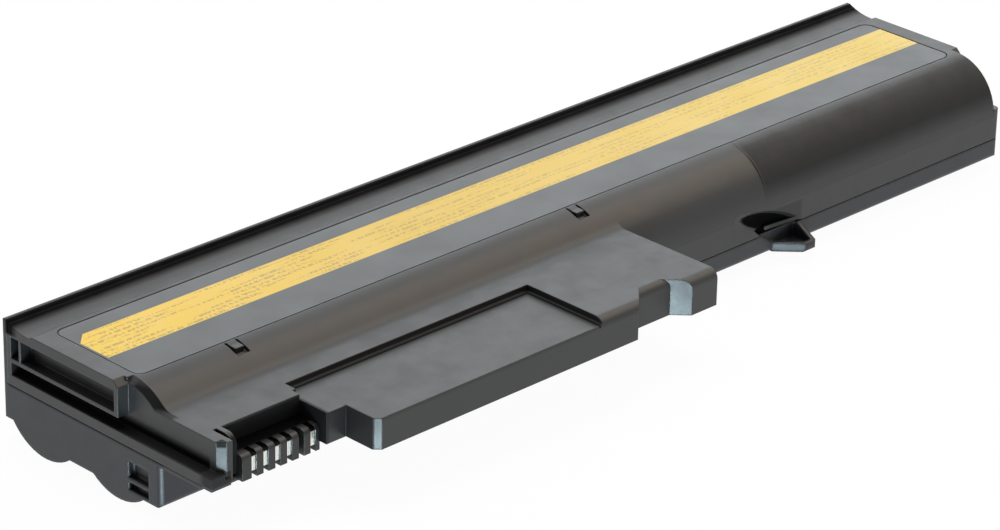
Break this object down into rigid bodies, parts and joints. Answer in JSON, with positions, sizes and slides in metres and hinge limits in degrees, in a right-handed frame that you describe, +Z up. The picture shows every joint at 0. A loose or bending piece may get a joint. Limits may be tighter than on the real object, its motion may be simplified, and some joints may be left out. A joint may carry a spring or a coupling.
{
  "type": "laptop battery pack",
  "caption": "Laptop battery pack with a curved cell body, a side tongue with a slotted blade connector, end guide slots and a latch catch.",
  "frame": {"origin": "middle of the footprint, at the lowest line of the rounded underside", "axes": "+X along the pack from the connector end to the plain end, +Y towards the back rim, +Z up through the label"},
  "size_m": [0.208, 0.06, 0.0219],
  "materials": {
    "upper_plastic": "satin moulded charcoal",
    "lower_plastic": "fine matt moulded charcoal",
    "connector_plastic": "matt brownish black",
    "contact_metal": "tin plated",
    "cell_sleeve": "shrunk sleeve",
    "fish_paper": "pressed paper",
    "nickel": "bright nickel",
    "board_laminate": "solder mask",
    "chip_package": "moulded package",
    "ceramic": "fired ceramic",
    "lead_red": "silicone insulation",
    "lead_blue": "silicone insulation",
    "lead_black": "thin insulation",
    "device_case": "epoxy",
    "adhesive": "soft silicone",
    "foam": "closed cell foam",
    "label_film": "printed film with a warm yellow field"
  },
  "bodies": {
    "root": {"adhesive_pads_back": "adhesive", "adhesive_pads_front": "adhesive", "board_capacitors": "ceramic", "board_fuse": "chip_package", "cell_1": "cell_sleeve", "cell_2": "cell_sleeve", "cell_3": "cell_sleeve", "cell_4": "cell_sleeve", "cell_5": "cell_sleeve", "cell_6": "cell_sleeve", "circuit_board": "board_laminate", "controller_chip": "chip_package", "end_foam": "foam", "first_tap_lead": "lead_blue", "gauge_chip": "chip_package", "insulating_paper": "fish_paper", "insulating_ring_1": "fish_paper", "insulating_ring_2": "fish_paper", "insulating_ring_3": "fish_paper", "insulating_ring_4": "fish_paper", "insulating_ring_5": "fish_paper", "insulating_ring_6": "fish_paper", "lower_shell": "lower_plastic", "nickel_link_1": "nickel", "nickel_link_2": "nickel", "nickel_link_3": "nickel", "nickel_link_4": "nickel", "plus_lead_far": "lead_red", "plus_lead_near": "lead_red", "power_transistor_1": "chip_package", "power_transistor_2": "chip_package", "second_tap_lead": "lead_blue", "sense_resistor": "ceramic", "terminal_block": "connector_plastic", "terminal_contact_1": "contact_metal", "terminal_contact_2": "contact_metal", "terminal_contact_3": "contact_metal", "terminal_contact_4": "contact_metal", "terminal_contact_5": "contact_metal", "thermal_cutout": "device_case", "thermistor": "device_case", "thermistor_lead_1": "lead_black", "thermistor_lead_2": "lead_black", "top_label": "label_film", "upper_shell": "upper_plastic"}
  },
  "joints": []
}
